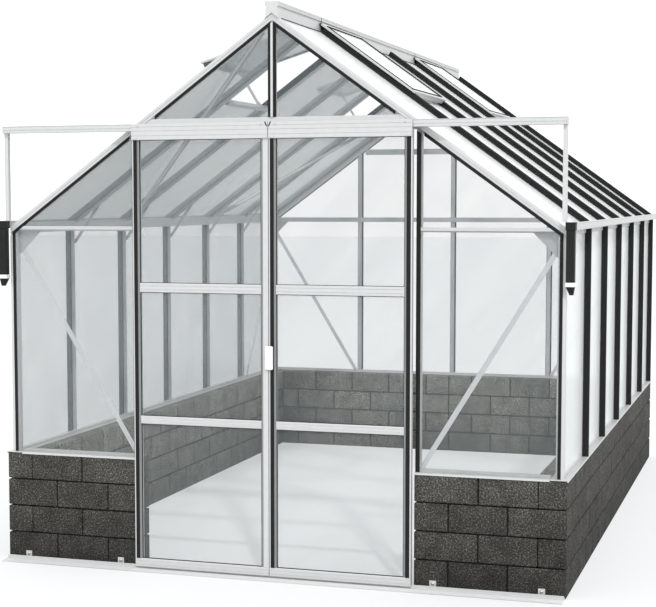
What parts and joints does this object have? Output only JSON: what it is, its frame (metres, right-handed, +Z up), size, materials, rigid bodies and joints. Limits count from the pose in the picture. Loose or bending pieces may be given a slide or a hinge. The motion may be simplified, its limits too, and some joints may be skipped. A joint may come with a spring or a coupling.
{
  "type": "glass greenhouse",
  "caption": "Glass greenhouse with a gabled roof on a low block wall, roof vents on both slopes and a sliding double door in the front gable.",
  "frame": {"origin": "on the ground, in the middle of the whole outline", "axes": "+X to the right seen from the front, +Y from the front gable with the door to the back gable, +Z up"},
  "size_m": [2.644, 3.975, 2.53],
  "materials": {
    "blocks": "rough, speckled",
    "frame": "satin",
    "ridge": "satin",
    "gutter": "satin",
    "track": "satin",
    "threshold": "satin",
    "door_frame": "satin",
    "fittings": "satin",
    "glass": "clear",
    "black_caps": "satin",
    "black_seals": "matte",
    "pipe": "satin",
    "rollers": "satin",
    "handle": "satin"
  },
  "bodies": {
    "house": {"plinth_left": "blocks", "plinth_right": "blocks", "plinth_back": "blocks", "plinth_front_left": "blocks", "plinth_front_right": "blocks", "sills": "frame", "corner_posts": "frame", "verge_bars": "frame", "side_posts": "frame", "eaves_beams": "frame", "rafters": "frame", "ridge_beam": "frame", "ridge_cap": "ridge", "front_bars": "frame", "front_rails": "frame", "back_bars": "frame", "back_ties": "frame", "side_glass": "glass", "roof_glass": "glass", "gable_glass_front": "glass", "gable_glass_back": "glass", "wall_caps": "black_caps", "roof_caps": "black_caps", "gable_seals_front": "black_seals", "gable_seals_back": "black_seals", "vent_frames": "frame", "vent_glass": "glass", "vent_sills": "frame", "vent_stays": "fittings", "braces": "fittings", "gussets": "fittings", "knee_braces": "fittings", "gutters": "gutter", "downpipes": "pipe", "downpipe_bands": "frame", "door_track": "track", "track_posts": "track", "threshold": "threshold", "clips": "fittings"},
    "door_left": {"door_left_frame": "door_frame", "door_left_glass": "glass", "door_left_seals": "black_seals", "door_left_rollers": "rollers", "door_left_handle": "handle"},
    "door_right": {"door_right_frame": "door_frame", "door_right_glass": "glass", "door_right_seals": "black_seals", "door_right_rollers": "rollers"}
  },
  "joints": [
    {"name": "door_left_slide", "type": "slide", "parent": "house", "child": "door_left", "axis": [-1, 0, 0], "range_m": [0, 0.62]},
    {"name": "door_right_slide", "type": "slide", "parent": "house", "child": "door_right", "axis": [1, 0, 0], "range_m": [0, 0.62]}
  ]
}
